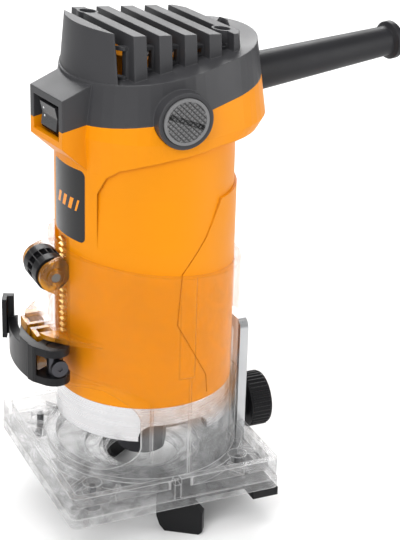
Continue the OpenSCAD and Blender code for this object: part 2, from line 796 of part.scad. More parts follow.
module motor_housing() {
    color("orange") difference() {
        union() {
            difference() {
                union() {
                    translate([0, 0, nose_top]) cylinder(r = barrel_r, h = flare_z - nose_top + 1);
                    head() head_body(0);
                    snout(0);
                }
                head() above(split_z, split_tilt);
                translate([0, 0, nose_top - 1]) cylinder(r = house_in, h = flare_z - nose_top + 1.4);
                difference() {
                    head() head_body(house_wall);
                    difference() {
                        along_y(-far, far) grip_outline(2.2);
                        cylinder(r = house_in, h = far);
                    }
                }
                intersection() {
                    snout(house_wall);
                    translate([0, 0, flare_z - 8]) cylinder(r = far, h = far);
                }
                rack_channel();
            }
            for (a = [22.5:45:359])
                rotate([0, 0, a]) translate([stator_r, -1.2, stator_z - 10])
                    cube([house_in - stator_r + 0.5, 2.4, stator_h + 10]);
            translate([-channel_x - 0.01, -channel_w / 2 - 1, rack_low - 2])
                cube([2, channel_w + 2, rack_high - rack_low + 4]);
            translate([-rack_back_x - 0.01, -rack_w / 2 - 2, rack_low - 2])
                cube([1.4, rack_w + 4, rack_high - rack_low + 4]);
            bearing_tower();
        }
        translate([0, 0, 0]) rack_channel();
        switch_recess();
        grip_cut();
        seams();
        brush_boss(brush_boss_r + 0.15, head_r - 9, 60);
        brush_boss(5.2, 8, 60);
        guard_axis() x_rod(guard_hole_r, -6, 40);
        guard_axis() x_rod(guard_flange_r + gap, -guard_flange_w - gap, 0.1);
        difference() {
            label_outline();
            cylinder(r = barrel_r - 0.6, h = far);
        }
        for (p = cap_boss)
            head() translate([p[0], p[1], 0]) cylinder(r = 1.5, h = far);
        translate([0, 0, top_bearing_z]) cylinder(r = top_bearing_r + fit, h = 60);
    }
}

module label_plate() {
    color("black") intersection() {
        label_outline();
        translate([0, 0, label_z - 24]) ring(barrel_r, barrel_r - 0.6, 50);
    }
}

slot_w = fin_pitch - fin_t;

// Middle of the slot in front of fin i
function slot_x(i) = fin_first + fin_pitch * (i - 0.5);

module tower_shape() {
    intersection() {
        translate([1.5, 0, shoulder_z - 9.4])
            cylinder(r1 = tower_r + 1.8, r2 = tower_r - 0.6, h = 28);
        translate([-far, 0, shoulder_z - 1.4]) along_sides(tower_y + 1.1, tower_y - 0.5, 20);
        below(fin_top, -fin_tilt);
    }
}

// A bar along X whose sides lean in from y0 below to y1 above
module along_sides(y0, y1, h) {
    along_x(0, 2 * far) polygon([[-y0 - 1, -h], [y0 + 1, -h], [y0, 0], [y1, h], [-y1, h],
        [-y0, 0]]);
}

// Upright wall behind the fins' ends, w thinner all round
module inner_shape(w) {
    intersection() {
        translate([1.5, 0, shoulder_z - 27]) cylinder(r = inner_r - w, h = 60);
        translate([-far, -inner_y + w, shoulder_z - 27])
            cube([2 * far, 2 * (inner_y - w), 60]);
    }
}

module fin_slots() {
    for (i = [0:slot_n - 1])
        translate([slot_x(i) - slot_w / 2, -far, shoulder_z - 17])
            cube([slot_w, 2 * far, 60]);
}

module fins() {
    difference() {
        tower_shape();
        difference() {
            fin_slots();
            intersection() {
                inner_shape(0);
                below(fin_top - 5, -fin_tilt);
            }
        }
    }
}

module vent_windows() {
    for (i = [0:slot_n - 1]) {
        z = shoulder_z + 0.116 * slot_x(i) + 1.4;
        top = fin_top - 0.116 * slot_x(i) - 6.6;
        translate([slot_x(i) - slot_w / 2 + 0.8, -inner_y - 2, z])
            cube([slot_w - 1.6, 2 * inner_y + 4, max(top - z, 1.2)]);
        translate([slot_x(i) - slot_w / 2, -inner_y + inner_wall + 0.6, z])
            cube([slot_w, 2 * (inner_y - inner_wall - 0.6), 60]);
    }
}

module top_cap() {
    color("dimgray") difference() {
        union() {
            difference() {
                union() {
                    head() intersection() {
                        head_body(0);
                        below(shoulder_z, shoulder_tilt);
                    }
                    snout(0);
                }
                head() below(split_z, split_tilt);
                difference() {
                    union() {
                        head() intersection() {
                            head_body(cap_wall);
                            below(shoulder_z - cap_wall, shoulder_tilt);
                        }
                        snout(cap_wall);
                    }
                }
            }
            head() difference() {
                fins();
                below(shoulder_z - cap_wall, shoulder_tilt);
            }
            difference() {
                brush_boss(brush_boss_r, head_r - 6, boss_y);
                head() below(brush_z - brush_boss_r - 1, 0);
            }
            for (p = cap_boss)
                head() translate([p[0], p[1], split_z + 1.7]) cylinder(r = 4.2, h = 40);
        }
        head() intersection() {
            inner_shape(inner_wall);
            below(fin_top - 6, -fin_tilt);
            difference() {
                translate([-far, -far, 0]) cube([2 * far, 2 * far, far]);
                for (p = cap_boss)
                    translate([p[0], p[1], split_z + 1.7]) cylinder(r = 4.2, h = 40);
            }
        }
        head() difference() {
            vent_windows();
            for (p = cap_boss)
                translate([p[0], p[1], split_z + 1.7]) cylinder(r = 4.2, h = 40);
        }
        switch_recess();
        brush_boss(brush_cap_r + 0.2, boss_y - 3.4, 60);
        brush_boss(5.2, 20, 60);
        guard_axis() x_rod(guard_hole_r, -6, 40);
        for (p = cap_boss) head() translate([p[0], p[1], 0]) {
            cylinder(r = 1.8, h = far);
            translate([0, 0, shoulder_z + 3.6]) cylinder(r = 3.2, h = far);
        }
        head() above(fin_top, -fin_tilt);
    }
}

module cap_screws() {
    color("silver") for (p = cap_boss) head() translate([p[0], p[1], 0]) difference() {
        union() {
            translate([0, 0, split_z + 2.2]) cylinder(r = 1.4, h = shoulder_h + 2);
            translate([0, 0, shoulder_z + 3.65]) cylinder(r = 2.9, h = 2.2);
        }
        for (a = [0, 90])
            rotate([0, 0, a + 20]) translate([-1.9, -0.35, shoulder_z + 4.8]) cube([3.8, 0.7, 2]);
    }
}

// ---------------------------------------------------------------- aluminium nose

module spindle_housing() {
    color("gainsboro") difference() {
        union() {
            translate([0, 0, nose_bottom]) cylinder(r = barrel_r - 0.1, h = nose_top - nose_bottom);
            translate([0, 0, nose_top - 1]) cylinder(r = spigot_r, h = spigot_h + 1);
        }
        translate([0, 0, nose_bottom - 1]) cylinder(r = nose_in, h = low_bearing_z - nose_bottom - 1);
        translate([0, 0, low_bearing_z]) cylinder(r = low_bearing_r + fit, h = 40);
        translate([0, 0, nose_bottom]) cylinder(r = low_bearing_r - 2.5, h = 40);
        translate([0, 0, low_bearing_z + 4]) ring(spigot_r - 2.6, low_bearing_r + 2.6, 40);
        for (a = [0:60:359])
            rotate([0, 0, a + 30]) translate([22, 0, 0]) cylinder(r = 3.4, h = 60);
        along_y(-far, far) translate([0, nose_bottom - 3]) round_rect(30, 20, 5.5);
        for (a = [45:90:359])
            rotate([0, 0, a]) translate([spigot_r - 1.5, 0, nose_top + 2.4])
                rotate([0, 90, 0]) cylinder(r = 1.1, h = 4, center = true);
    }
}

module spindle_housing_screws() {
    color("silver") for (a = [45:90:359])
        rotate([0, 0, a]) translate([0, 0, nose_top + 2.4])
            x_rod(1.05, spigot_r - 3.2, spigot_r - 0.1);
}

module bearing_outer(r, w, ball_c, ball_r) {
    difference() {
        ring(r, ball_c + ball_r * 0.55, w);
        translate([0, 0, w / 2]) rotate_extrude() translate([ball_c, 0]) circle(r = ball_r + fit);
    }
}

module bearing_inner(r, w, ball_c, ball_r) {
    difference() {
        ring(ball_c - ball_r * 0.55, r, w);
        translate([0, 0, w / 2]) rotate_extrude() translate([ball_c, 0]) circle(r = ball_r + fit);
    }
}

module bearing_balls(n, w, ball_c, ball_r) {
    for (i = [0:n - 1])
        rotate([0, 0, 360 * i / n]) translate([ball_c, 0, w / 2]) sphere(r = ball_r, $fn = 24);
}

low_ball_c = (low_bearing_r + spindle_r) / 2;
top_ball_c = (top_bearing_r + tail_shaft_r) / 2;

module lower_bearing_outer() {
    color("silver") translate([0, 0, low_bearing_z])
        bearing_outer(low_bearing_r, low_bearing_w, low_ball_c, 2.4);
}

module lower_bearing_inner() {
    color("silver") translate([0, 0, low_bearing_z])
        bearing_inner(spindle_r + fit, low_bearing_w, low_ball_c, 2.4);
}

module lower_bearing_balls() {
    color("silver") translate([0, 0, low_bearing_z]) bearing_balls(8, low_bearing_w, low_ball_c, 2.35);
}

module upper_bearing_outer() {
    color("silver") translate([0, 0, top_bearing_z])
        bearing_outer(top_bearing_r, top_bearing_w, top_ball_c, 2);
}

module upper_bearing_inner() {
    color("silver") translate([0, 0, top_bearing_z])
        bearing_inner(tail_shaft_r + fit, top_bearing_w, top_ball_c, 2);
}

module upper_bearing_balls() {
    color("silver") translate([0, 0, top_bearing_z]) bearing_balls(7, top_bearing_w, top_ball_c, 1.95);
}

// ---------------------------------------------------------------- motor

module stator_core() {
    color("dimgray") translate([0, 0, stator_z]) difference() {
        cylinder(r = stator_r - fit, h = stator_h);
        translate([0, 0, -1]) cylinder(r = armature_r + air_gap, h = stator_h + 2);
        for (s = [-1, 1])
            translate([s * pole_x, 0, stator_h / 2])
                cube([14, 2 * pole_y, stator_h + 2], center = true);
    }
}

module stator_coils() {
    color("chocolate") for (s = [-1, 1]) translate([s * pole_x, 0, stator_z + stator_h / 2])
        difference() {
            cube([10, 2 * pole_y - 1, stator_h + 12], center = true);
            translate([-s * 4.6, 0, 0]) cube([10, 18, stator_h - 6], center = true);
            translate([-s * pole_x, 0, -stator_h]) cylinder(r = armature_r + 1.4, h = 2 * stator_h);
        }
}

module fan_baffle() {
    color("dimgray") translate([0, 0, fan_z + 16]) difference() {
        ring(house_in - 0.1, 19.5, 2);
        translate([-far - rack_back_x + 2.4, -12, -1]) cube([far, 24, 4]);
    }
}

module brush_holders() {
    color("goldenrod") brush_tube(4.9, 3.2, 13.2, boss_y - 4.6);
}

module brush_tube(r_out, r_in, y0, y1) {
    for (s = [-1, 1]) scale([1, s, 1]) translate([0, 0, brush_z]) difference() {
        y_rod(r_out, y0, y1);
        y_rod(r_in, y0 - 1, y1 + 1);
    }
}

module carbon_brushes() {
    color("black") for (s = [-1, 1]) scale([1, s, 1])
        translate([-2.2, 11.2, brush_z - 2.2]) cube([4.4, 12, 4.4]);
}

module brush_springs() {
    color("silver") brush_tube(3, 2.4, 23.3, boss_y - 5.4);
}

module brush_caps() {
    color("dimgray") for (s = [-1, 1]) scale([1, s, 1]) translate([0, 0, brush_z]) difference() {
        union() {
            y_rod(brush_cap_r, boss_y - 3.2, boss_y + 0.7);
            y_rod(3, boss_y - 5.3, boss_y - 3);
        }
        translate([0, boss_y, 0]) rotate([0, 22, 0]) translate([-7.6, -0.6, -1]) cube([15.2, 3, 2]);
    }
}

module switch_body() {
    color("black") head() difference() {
        union() {
            translate([-snout_x + recess_d - 0.9, -7.15, rocker_z - 6.4]) cube([12, 14.3, 12.8]);
            translate([-snout_x + recess_d - 0.9, -8.8, rocker_z - 6.8]) cube([0.88, 17.6, 13.2]);
        }
        translate([-snout_x, -rocker_w / 2 + 0.4, rocker_z - rocker_h / 2])
            cube([recess_d + 4.4, rocker_w - 0.8, rocker_h]);
    }
}

module switch_rocker() {
    w = rocker_w / 2 - 0.9;
    color("black") head() translate([-snout_x + recess_d + 0.6, 0, rocker_z])
        along_y(-w, w) polygon([[-3.6, -4.6], [-2.6, -4.6], [1.6, -2.2], [1.6, 2.2], [-2.4, 4.8],
            [-4.1, 4.8], [-3, 0]]);
}

// ---------------------------------------------------------------- cord guard

module cord_guard() {
    l = guard_l + 9;
    color("dimgray") guard_axis() difference() {
        union() {
            x_cone(guard_r, guard_tip_r, 4, l - 0.5);
            x_cone(guard_tip_r, guard_tip_r + 1.9, l - 4.6, l - 3.4);
            x_rod(guard_tip_r + 1.9, l - 3.4, l - 1);
            x_cone(guard_tip_r + 1.9, guard_tip_r + 1.1, l - 1, l);
            x_rod(guard_r - 0.2, -4, 5);
            x_rod(guard_flange_r, -guard_flange_w, 0);
        }
        x_rod(cord_r, -10, l + 5);
    }
}

module x_cone(r0, r1, x0, x1) {
    translate([x0, 0, 0]) rotate([0, 90, 0]) cylinder(r1 = r0, r2 = r1, h = x1 - x0);
}

module cord_clamp() {
    color("dimgray") head() translate([guard_x - 13, -7.5, guard_z - 7.4]) difference() {
        cube([7, 15, 2.6]);
        for (y = [2, 13])
            translate([3.5, y, -1]) cylinder(r = 1.3, h = 6);
    }
}

module cord_clamp_screws() {
    color("silver") head() for (y = [-5.5, 5.5]) translate([guard_x - 9.5, y, guard_z - 9.38]) {
        cylinder(r = 1.2, h = 4.6);
        translate([0, 0, 4.6]) cylinder(r = 2.2, h = 1.4);
    }
}

// ---------------------------------------------------------------- spindle

module armature_shaft() {
    color("silver") union() {
        difference() {
            translate([0, 0, nut_z + 5]) cylinder(r = thread_r, h = 20);
            translate([0, 0, nut_z + 4]) cylinder(r = 6.2, h = 1.8);
            translate([0, 0, nut_z + 5]) cylinder(r1 = 6.4, r2 = 4.6, h = 12.6);
        }
        translate([0, 0, nut_z + 24]) cylinder(r = spindle_r + 1.5, h = low_bearing_z - nut_z - 24);
        translate([0, 0, nut_z + 22]) cylinder(r = spindle_r, h = flare_z + 3 - nut_z - 22);
        translate([0, 0, flare_z + 2])
            cylinder(r = tail_shaft_r, h = top_bearing_z + top_bearing_w - flare_z - 1);
    }
}

module armature_core() {
    color("dimgray") translate([0, 0, stator_z + 1]) difference() {
        cylinder(r = armature_r, h = stator_h - 2);
        translate([0, 0, -1]) cylinder(r = spindle_r + fit, h = stator_h + 2);
        for (a = [0:30:359])
            rotate([0, 0, a]) translate([armature_r - 3, -1, -1]) cube([6, 2, stator_h + 2]);
    }
}

module armature_coils() {
    color("chocolate") {
        translate([0, 0, stator_z - 8]) ring(armature_r - 1.5, spindle_r + fit, 8.9);
        translate([0, 0, stator_z + stator_h - 0.9]) difference() {
            union() {
                cylinder(r = armature_r - 1.5, h = 9);
                translate([0, 0, 8]) cylinder(r1 = armature_r - 4, r2 = 9.5, h = 8);
            }
            translate([0, 0, -1]) cylinder(r = spindle_r + fit, h = 30);
        }
    }
}

module commutator() {
    color("peru") translate([0, 0, brush_z - 8]) difference() {
        cylinder(r = 11, h = 16);
        translate([0, 0, -1]) cylinder(r = tail_shaft_r + fit, h = 20);
        for (a = [0:15:359])
            rotate([0, 0, a]) translate([10.4, -0.2, -1]) cube([2, 0.4, 18]);
    }
}

module cooling_fan() {
    color("dimgray") translate([0, 0, fan_z]) difference() {
        union() {
            cylinder(r = fan_r, h = 1.8);
            cylinder(r = spindle_r + 3.5, h = 12);
            for (i = [0:fan_blades - 1])
                rotate([0, 0, 360 * i / fan_blades]) translate([spindle_r + 2, -0.8, 0])
                    rotate([0, 0, 12]) cube([fan_r - spindle_r - 3.4, 1.6, 11]);
        }
        translate([0, 0, -1]) cylinder(r = spindle_r + fit, h = 20);
    }
}

module collet_cone() {
    z0 = nut_z + 0.8;
    color("silver") difference() {
        union() {
            translate([0, 0, z0]) cylinder(r = 4.9, h = 3);
            translate([0, 0, z0 + 2]) cylinder(r1 = 4.9, r2 = 6.1, h = 1.6);
            translate([0, 0, z0 + 3.6]) cylinder(r = 6.1, h = 1.4);
            translate([0, 0, nut_z + 5.6]) cylinder(r1 = 6.2, r2 = 4.57, h = 11.4);
        }
        translate([0, 0, 0]) cylinder(r = collet_r, h = 60);
        for (a = [0:90:359])
            rotate([0, 0, a + 45]) translate([collet_r + 0.9, -0.3, z0 - 1]) cube([6, 0.6, 12]);
    }
}

module collet_nut() {
    color("dimgray") translate([0, 0, nut_z]) difference() {
        intersection() {
            cylinder(r = nut_r, h = nut_h, $fn = 6);
            cylinder(r1 = nut_r - 1.4, r2 = nut_r + 12, h = nut_h);
        }
        translate([0, 0, -1]) cylinder(r = 5, h = 5);
        translate([0, 0, 2.6]) cylinder(r1 = 5, r2 = 6.4, h = 1.7);
        translate([0, 0, 4.2]) cylinder(r = 6.4, h = 4);
        translate([0, 0, 5]) cylinder(r = thread_r + fit, h = nut_h);
    }
}

base_housing();
sub_base_plate();
sub_base_screws();
clamp_bolt();
clamp_nut();
lever_pivot_pin();
clamp_lever();
depth_roller();
roller_pin();
guide_insert();
guide_bracket();
guide_fence();
fence_screws();
guide_knob();
knob_stud();
knob_washer();
motor_housing();
top_cap();
cap_screws();
label_plate();
depth_rack();
spindle_housing();
spindle_housing_screws();
lower_bearing_outer();
lower_bearing_balls();
lower_bearing_inner();
upper_bearing_outer();
upper_bearing_balls();
upper_bearing_inner();
stator_core();
stator_coils();
fan_baffle();
brush_holders();
carbon_brushes();
brush_springs();
brush_caps();
switch_body();
switch_rocker();
cord_guard();
cord_clamp();
cord_clamp_screws();
armature_shaft();
armature_core();
armature_coils();
commutator();
cooling_fan();
collet_cone();
collet_nut();
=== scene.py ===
# Trim router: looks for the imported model. Everything is in metres, in the CAD's own frame.
import math
import bpy
import bmesh
from mathutils import Matrix, Vector


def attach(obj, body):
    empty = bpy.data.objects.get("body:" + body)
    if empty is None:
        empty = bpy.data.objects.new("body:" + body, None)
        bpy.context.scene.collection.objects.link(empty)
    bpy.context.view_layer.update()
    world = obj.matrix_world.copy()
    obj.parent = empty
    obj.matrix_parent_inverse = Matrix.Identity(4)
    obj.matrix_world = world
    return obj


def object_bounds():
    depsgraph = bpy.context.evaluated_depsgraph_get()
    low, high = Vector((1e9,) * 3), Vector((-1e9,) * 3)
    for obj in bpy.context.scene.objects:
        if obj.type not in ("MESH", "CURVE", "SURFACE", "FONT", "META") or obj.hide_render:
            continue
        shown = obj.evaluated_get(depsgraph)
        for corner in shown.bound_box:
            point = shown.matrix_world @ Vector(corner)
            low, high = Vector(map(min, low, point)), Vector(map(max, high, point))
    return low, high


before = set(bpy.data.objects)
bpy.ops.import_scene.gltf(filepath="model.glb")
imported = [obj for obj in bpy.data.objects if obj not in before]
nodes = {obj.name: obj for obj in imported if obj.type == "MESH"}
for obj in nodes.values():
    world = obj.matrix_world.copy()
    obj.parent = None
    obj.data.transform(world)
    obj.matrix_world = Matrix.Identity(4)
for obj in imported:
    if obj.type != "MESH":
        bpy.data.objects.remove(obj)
cad_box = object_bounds()
scene = bpy.context.scene

MM = 0.001
HEAD_TURN = math.radians(10)  # the head about the barrel's axis, against the base
LABEL_Z = 0.1236  # middle of the label
BRUSH_Z = 0.162  # height of the brush caps' axis
COLLAR_PAINTED_ORANGE_Z = (0.03, 0.042)  # painted light: over this height the collar is painted with the motor's orange seen through it
LUG_X = (-0.0395, -0.0425)  # the ears and lugs start here; past this x they are painted orange, the motor's colour reflected in them
ROCKER_DOTS = ((-43.45, 3.7, 161.4), (-43.0, 3.7, 158.1))  # mm, in head coordinates

# ------------------------------------------------------------------ camera

AZ, EL, ROLL = math.radians(-24.37), math.radians(24.3), math.radians(1.63)
CAMERA_AT = (-0.2423, -0.5895, 0.374)

back = Vector((math.sin(AZ) * math.cos(EL), -math.cos(AZ) * math.cos(EL), math.sin(EL)))
right = Vector((math.cos(AZ), math.sin(AZ), 0))
up = back.cross(right)
cam_x = math.cos(ROLL) * right + math.sin(ROLL) * up
cam_y = -math.sin(ROLL) * right + math.cos(ROLL) * up
cam_data = bpy.data.cameras.new("camera")
cam_data.lens = 115.04
cam_data.sensor_width = 36
cam_data.clip_start = 0.01
cam_data.clip_end = 50
cam = bpy.data.objects.new("camera", cam_data)
scene.collection.objects.link(cam)
cam.matrix_world = Matrix.Translation(CAMERA_AT) @ Matrix(
    (cam_x, cam_y, back)).transposed().to_4x4()
scene.camera = cam
scene.view_settings.view_transform = "Standard"
scene.view_settings.look = "None"

# ------------------------------------------------------------------ light

world = bpy.data.worlds.new("studio")
scene.world = world
world.use_nodes = True
background = world.node_tree.nodes["Background"]
background.inputs["Color"].default_value = (1, 1, 1, 1)
background.inputs["Strength"].default_value = 0.4


def area(name, where, aim, size, watts):
    data = bpy.data.lights.new(name, "AREA")
    data.shape = "RECTANGLE"
    data.size, data.size_y = size
    data.energy = watts
    ob = bpy.data.objects.new(name, data)
    scene.collection.objects.link(ob)
    ob.location = where
    ob.rotation_euler = (Vector(aim) - Vector(where)).to_track_quat("-Z", "Y").to_euler()


area("key", (-0.75, -0.75, 0.85), (0, 0, 0.1), (0.5, 0.7), 10)
area("side", (0.85, -0.55, 0.35), (0, 0, 0.1), (0.25, 0.9), 5)
area("rim", (0.3, 0.9, 0.7), (0, 0, 0.12), (0.9, 0.4), 9)
area("top", (-0.1, -0.1, 1.1), (0, 0, 0.1), (0.8, 0.8), 7)

# ------------------------------------------------------------------ material helpers


class Mat:
    """A principled material with a few procedural helpers, all in object coordinates in metres."""

    def __init__(self, name, color, rough=0.4, metal=0.0, **sockets):
        self.m = bpy.data.materials.new(name)
        self.m.use_nodes = True
        self.t = self.m.node_tree
        self.p = self.t.nodes["Principled BSDF"]
        self.p.inputs["Base Color"].default_value = (*color, 1)
        self.p.inputs["Roughness"].default_value = rough
        self.p.inputs["Metallic"].default_value = metal
        for k, v in sockets.items():
            self.p.inputs[k.replace("_", " ")].default_value = v
        self.m.diffuse_color = (*color, 1)
        self.color = color
        self.height = None
        self._co = None

    def node(self, kind, **attrs):
        n = self.t.nodes.new(kind)
        for k, v in attrs.items():
            setattr(n, k, v)
        return n

    def link(self, a, b):
        self.t.links.new(a, b)

    def co(self, scale=(1, 1, 1), rot=(0, 0, 0)):
        """Object coordinates, scaled and turned."""
        if self._co is None:
            self._co = self.node("ShaderNodeTexCoord").outputs["Object"]
        m = self.node("ShaderNodeMapping")
        m.inputs["Scale"].default_value = scale
        m.inputs["Rotation"].default_value = rot
        self.link(self._co, m.inputs["Vector"])
        return m.outputs["Vector"]

    def xyz(self, rot=(0, 0, 0)):
        """The three object coordinates by themselves."""
        sep = self.node("ShaderNodeSeparateXYZ")
        self.link(self.co(rot=rot), sep.inputs[0])
        return sep.outputs["X"], sep.outputs["Y"], sep.outputs["Z"]

    def noise(self, scale, detail=3.0, rough=0.5, stretch=(1, 1, 1), distortion=0.0):
        n = self.node("ShaderNodeTexNoise")
        n.inputs["Scale"].default_value = scale
        n.inputs["Detail"].default_value = detail
        n.inputs["Roughness"].default_value = rough
        n.inputs["Distortion"].default_value = distortion
        self.link(self.co(stretch), n.inputs["Vector"])
        return n.outputs["Fac"]

    def remap(self, value, a, b, c, d):
        n = self.node("ShaderNodeMapRange")
        n.inputs["From Min"].default_value = a
        n.inputs["From Max"].default_value = b
        n.inputs["To Min"].default_value = c
        n.inputs["To Max"].default_value = d
        self.link(value, n.inputs["Value"])
        return n.outputs["Result"]

    def math(self, op, a, b=None):
        n = self.node("ShaderNodeMath", operation=op)
        for i, v in enumerate((a, b)):
            if v is None:
                continue
            if isinstance(v, (int, float)):
                n.inputs[i].default_value = v
            else:
                self.link(v, n.inputs[i])
        return n.outputs[0]

    def mix(self, fac, a, b):
        n = self.node("ShaderNodeMix", data_type="RGBA")
        for sock, v in ((n.inputs[0], fac), (n.inputs[6], a), (n.inputs[7], b)):
            if isinstance(v, tuple):
                sock.default_value = (*v, 1)
            else:
                self.link(v, sock)
        return n.outputs[2]

    def tint(self, scale, amount, detail=4.0):
        """Cloudy colour variation of plus or minus amount."""
        f = self.remap(self.noise(scale, detail), 0.3, 0.7, 0, 1)
        lo = tuple(c * (1 - amount) for c in self.color)
        hi = tuple(min(1, c * (1 + amount)) for c in self.color)
        self.link(self.mix(f, lo, hi), self.p.inputs["Base Color"])

    def rough(self, lo, hi, scale=60, detail=5.0, stretch=(1, 1, 1)):
        """Cloudy or brushed gloss, from lo to hi."""
        f = self.remap(self.noise(scale, detail, 0.6, stretch), 0.3, 0.7, lo, hi)
        self.link(f, self.p.inputs["Roughness"])

    def bump(self, height, depth, strength=1.0):
        """Adds a height on top of the bevel and bumps that are already there."""
        b = self.node("ShaderNodeBump")
        b.inputs["Distance"].default_value = depth
        b.inputs["Strength"].default_value = strength
        self.link(height, b.inputs["Height"])
        if self.height is not None:
            self.link(self.height, b.inputs["Normal"])
        self.height = b.outputs["Normal"]
        self.link(self.height, self.p.inputs["Normal"])

    def bevel(self, radius):
        n = self.node("ShaderNodeBevel", samples=4)
        n.inputs["Radius"].default_value = radius
        return n.outputs["Normal"]

    def edges(self, radius):
        """Softens sharp edges as a moulding's small fillets do."""
        self.height = self.bevel(radius)
        self.link(self.height, self.p.inputs["Normal"])

    def corner(self, radius, start, amount):
        """From 0 on a flat face to amount at a corner, where a wide bevel's normal turns away from
        the surface's own. It starts where their dot product falls under start."""
        geo = self.node("ShaderNodeNewGeometry")
        dot = self.node("ShaderNodeVectorMath", operation="DOT_PRODUCT")
        self.link(self.bevel(radius), dot.inputs[0])
        self.link(geo.outputs["Normal"], dot.inputs[1])
        return self.remap(dot.outputs["Value"], start, 0.8, 0, amount)

    def paint_edge_highlights(self, radius, color, amount):
        """Painted highlights: paler edges, in patches."""
        patches = self.remap(self.noise(90, 4), 0.35, 0.65, 0.35, 1)
        patchy = self.math("MULTIPLY", self.corner(radius, 0.98, amount), patches)
        src = self.p.inputs["Base Color"]
        self.link(self.mix(patchy, src.links[0].from_socket, color), src)


def moulded(name, color, rough, grain, grain_scale, tint, edge, specular=0.5):
    """Moulded plastic: rough is the range of roughness, grain the depth of its fine texture."""
    m = Mat(name, color, sum(rough) / 2)
    m.p.inputs["Specular IOR Level"].default_value = specular
    m.tint(35, tint)
    m.rough(*rough, scale=45)
    m.edges(edge)
    m.bump(m.noise(grain_scale, 2.0, 0.5), grain, 0.6)
    m.bump(m.noise(28, 2.0), 0.0002, 0.25)
    return m


def brushed(name, color, rough, stretch, scale=900, depth=0.00001, tint=(60, 0.06)):
    """Metal with marks along the axis whose stretch is small, or with none when all are 1."""
    m = Mat(name, color, sum(rough) / 2, 1.0)
    m.tint(*tint)
    m.rough(*rough, scale=scale, stretch=stretch)
    m.edges(0.0003)
    m.bump(m.noise(scale, 3.0, 0.6, stretch), depth, 0.7)
    return m


# ------------------------------------------------------------------ plastics

orange = moulded("orange_moulding", (0.73, 0.245, 0.0), (0.36, 0.48), grain=0.000018,
                 grain_scale=2300, tint=0.03, edge=0.0006, specular=0.16)
grey = moulded("grey_moulding", (0.034, 0.034, 0.037), (0.4, 0.52), grain=0.00004,
               grain_scale=2000, tint=0.1, edge=0.0006, specular=0.35)
# Painted highlights: the grey cap's edges are painted paler.
grey.paint_edge_highlights(0.0011, (0.1, 0.1, 0.105), 0.4)
black = moulded("black_moulding", (0.006, 0.006, 0.007), (0.3, 0.44), grain=0.00003,
                grain_scale=2200, tint=0.15, edge=0.0005, specular=0.2)
# Painted highlights: the black parts' edges are painted paler.
black.paint_edge_highlights(0.0006, (0.045, 0.045, 0.048), 0.3)
rubber = moulded("guard_rubber", (0.012, 0.012, 0.014), (0.42, 0.54), grain=0.00003,
                 grain_scale=1800, tint=0.12, edge=0.0006, specular=0.22)
rubber.bump(rubber.noise(6, 3.0, 0.5, (1, 60, 60)), 0.00012, 0.3)
rocker_mat = moulded("rocker_moulding", (0.022, 0.022, 0.024), (0.22, 0.32), grain=0.00002,
                     grain_scale=2400, tint=0.1, edge=0.0004)
carbon = moulded("carbon", (0.02, 0.02, 0.021), (0.5, 0.66), grain=0.00005,
                 grain_scale=1500, tint=0.2, edge=0.0002)
white_ink = moulded("white_ink", (0.7, 0.7, 0.7), (0.4, 0.5), grain=0.00001,
                    grain_scale=2000, tint=0.04, edge=0.0001)


def clear_material(name, color, thin, edge_on, painted_motor_orange=None):
    """Clear moulded plastic: faint face on, milky at grazing angles where a wall is seen through
    its length. Painted highlights make its corners pale, and painted refraction shade mottles
    it darker and paler grey inside. Round the motor it is painted with the motor's orange seen
    through it, with painted darker shade on its corners, and its ears and lugs are painted
    orange in bands as the motor's colour reflected in them."""
    m = Mat(name, color, 0.12, 0.0, IOR=1.5)
    m.rough(0.08, 0.2, scale=38)
    m.edges(0.0004)
    m.bump(m.noise(55, 3.0), 0.0001, 0.3)
    grazing = m.node("ShaderNodeLayerWeight")
    grazing.inputs["Blend"].default_value = 0.5
    face = m.math("POWER", grazing.outputs["Facing"], 2.0)
    # Painted refraction shade: noise bands of darker and paler grey stand in for light bent inside
    # the walls; they also vary the alpha.
    painted_refraction_bands = m.remap(m.noise(75, distortion=2.6), 0.4, 0.62, 0, 1)
    painted_shade_tone, painted_light_tone = tuple(c * 0.42 for c in color), tuple(min(1, c * 1.35) for c in color)
    shade = m.mix(painted_refraction_bands, painted_shade_tone, painted_light_tone)
    alpha = m.math("MULTIPLY", m.remap(face, 0, 1, thin, edge_on), m.remap(painted_refraction_bands, 0, 1, 1.3, 0.75))
    corner = m.corner(0.0009, 0.99, 1)
    # Painted highlight: corners are painted pale grey and made more opaque.
    shade = m.mix(m.math("MULTIPLY", corner, 0.75), shade, (0.9, 0.9, 0.9))
    alpha = m.math("ADD", alpha, m.math("MULTIPLY", corner, 0.3))
    if painted_motor_orange:
        # Painted light: above the tint height the collar is painted with the motor's orange seen
        # through it, and made thinner there.
        x, _, z = m.xyz()
        high = m.remap(z, *COLLAR_PAINTED_ORANGE_Z, 0, 1)
        # Painted reflection: past LUG_X the ears and lugs are painted orange in darker and paler
        # bands and made more opaque.
        painted_lug_orange_mask = m.math("MULTIPLY", high, m.remap(x, *LUG_X, 0, 1))
        # Painted shade: in the orange zone the corners are painted a darker orange-brown.
        rim = m.mix(m.math("MULTIPLY", corner, 0.85), painted_motor_orange, (0.4, 0.13, 0.0))
        shade = m.mix(m.math("MULTIPLY", high, 0.95), shade, rim)
        shade = m.mix(painted_lug_orange_mask, shade, m.mix(painted_refraction_bands, (0.22, 0.08, 0.0), (0.75, 0.32, 0.01)))
        thinner = m.math("SUBTRACT", 1.0, m.math("MULTIPLY", high, 0.45))
        alpha = m.math("ADD", m.math("MULTIPLY", alpha, thinner), m.math("MULTIPLY", painted_lug_orange_mask, 0.62))
    m.link(shade, m.p.inputs["Base Color"])
    m.link(m.math("MINIMUM", alpha, 1.0), m.p.inputs["Alpha"])
    return m


